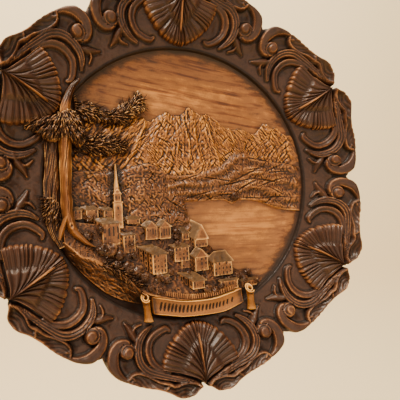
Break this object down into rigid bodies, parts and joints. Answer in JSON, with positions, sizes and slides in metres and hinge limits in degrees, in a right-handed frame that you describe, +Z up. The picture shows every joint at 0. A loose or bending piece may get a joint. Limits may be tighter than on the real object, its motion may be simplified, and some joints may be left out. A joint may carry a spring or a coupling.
{
  "type": "relief wall plaque",
  "caption": "Round dished wall plaque carved in wood: an alpine lake village under a pine, in a lobed rim of shells, leaves and scrolls.",
  "frame": {"origin": "centre of the flat back, on the wall's surface", "axes": "-Y out of the wall towards the viewer, +Z up through the top lobe, +X to the viewer's right"},
  "size_m": [0.3954, 0.0503, 0.4056],
  "materials": {
    "stained_wood": "dark walnut stain under semi-gloss varnish, rubbed to gold on the high carving"
  },
  "bodies": {
    "root": {"plaque": "stained_wood"}
  },
  "joints": []
}
